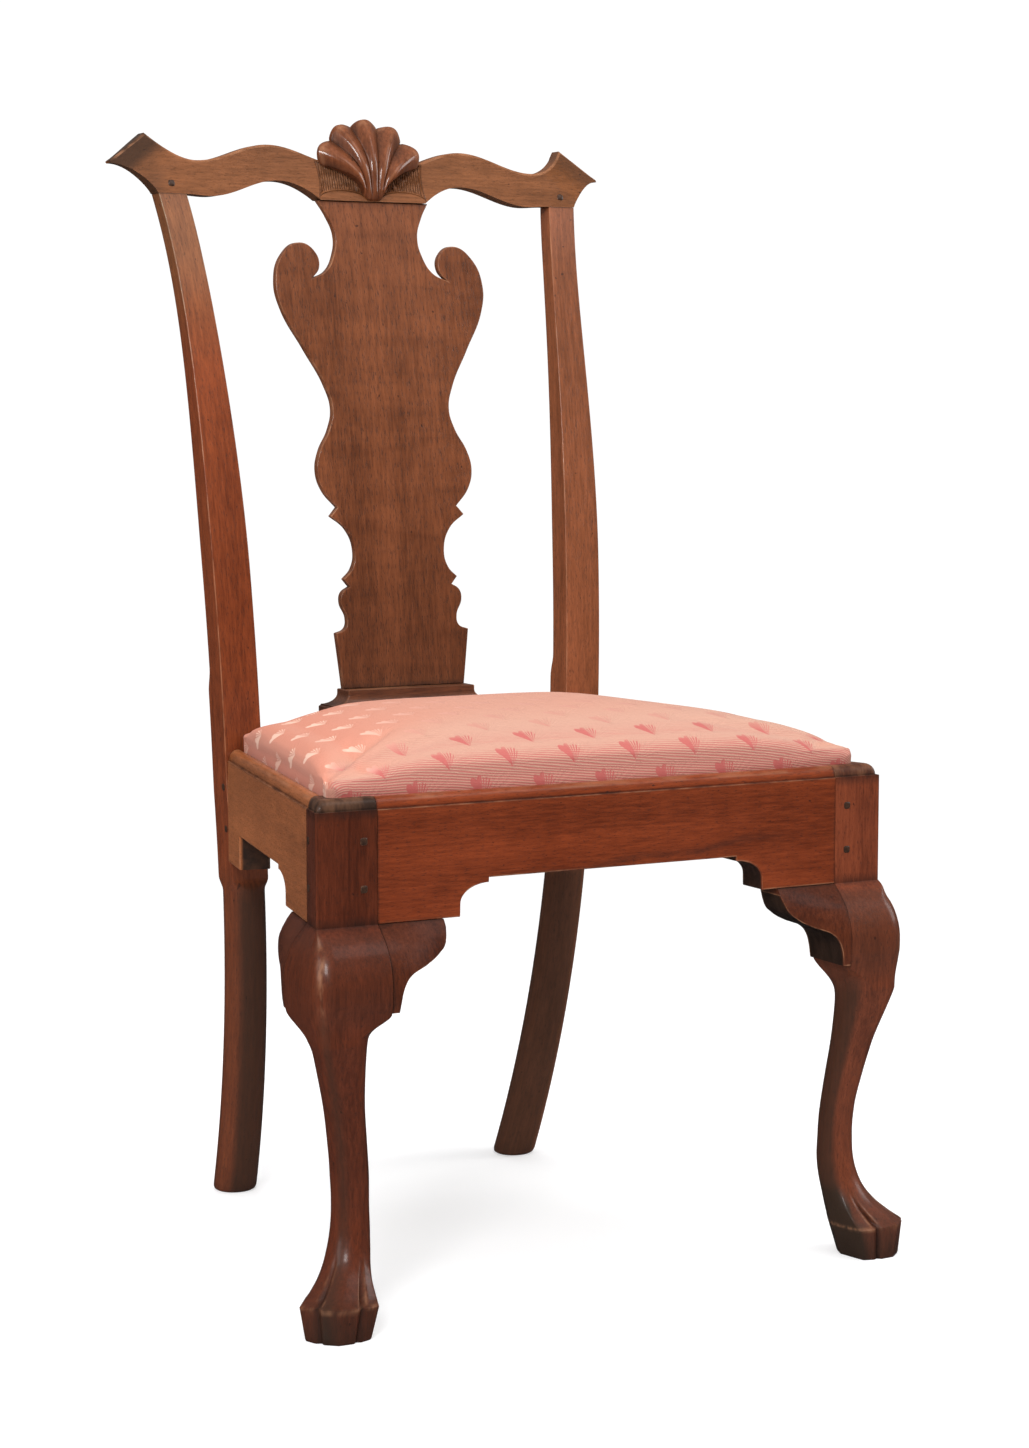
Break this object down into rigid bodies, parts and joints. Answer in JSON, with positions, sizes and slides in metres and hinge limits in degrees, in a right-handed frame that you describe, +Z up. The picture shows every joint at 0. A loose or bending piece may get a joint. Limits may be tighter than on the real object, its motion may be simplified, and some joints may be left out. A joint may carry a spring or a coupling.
{
  "type": "side chair",
  "caption": "Queen Anne side chair: cabriole front legs with three-toed feet, raked rear posts, curved solid splat, carved shell crest and a lift-out silk seat.",
  "frame": {"origin": "middle of the bounding box on the floor", "axes": "+Z up, the front of the chair faces -Y, +X is the viewer's right"},
  "size_m": [0.574, 0.5458, 1.0108],
  "materials": {
    "walnut": "waxed, satin to glossy",
    "peg_wood": "dark end grain",
    "secondary_wood": "sawn, unfinished",
    "jute_webbing": "plain woven",
    "hair_stuffing": "loose fibre",
    "rose_silk": "ribbed silk with small woven motifs"
  },
  "bodies": {
    "chair_frame": {"crest_peg_left": "peg_wood", "crest_peg_right": "peg_wood", "crest_rail": "walnut", "front_bracket_left": "walnut", "front_bracket_right": "walnut", "front_leg_left": "walnut", "front_leg_right": "walnut", "front_rail": "walnut", "front_rail_peg_lower_left": "peg_wood", "front_rail_peg_lower_right": "peg_wood", "front_rail_peg_upper_left": "peg_wood", "front_rail_peg_upper_right": "peg_wood", "glue_block_left": "secondary_wood", "glue_block_right": "secondary_wood", "rear_post_left": "walnut", "rear_post_peg_lower_left": "peg_wood", "rear_post_peg_lower_right": "peg_wood", "rear_post_peg_upper_left": "peg_wood", "rear_post_peg_upper_right": "peg_wood", "rear_post_right": "walnut", "rear_rail": "walnut", "shoe": "walnut", "side_bracket_left": "walnut", "side_bracket_right": "walnut", "side_rail_left": "walnut", "side_rail_peg_lower_left": "peg_wood", "side_rail_peg_lower_right": "peg_wood", "side_rail_peg_upper_left": "peg_wood", "side_rail_peg_upper_right": "peg_wood", "side_rail_right": "walnut", "splat": "walnut"},
    "slip_seat": {"seat_cover": "rose_silk", "seat_frame_back": "secondary_wood", "seat_frame_front": "secondary_wood", "seat_frame_left": "secondary_wood", "seat_frame_right": "secondary_wood", "seat_stuffing": "hair_stuffing", "webbing_cross_1": "jute_webbing", "webbing_cross_2": "jute_webbing", "webbing_cross_3": "jute_webbing", "webbing_long_1": "jute_webbing", "webbing_long_2": "jute_webbing", "webbing_long_3": "jute_webbing"}
  },
  "joints": [
    {"name": "slip_seat_lift", "type": "slide", "parent": "chair_frame", "child": "slip_seat", "axis": [0, 0, 1], "range_m": [0, 0.1]}
  ]
}
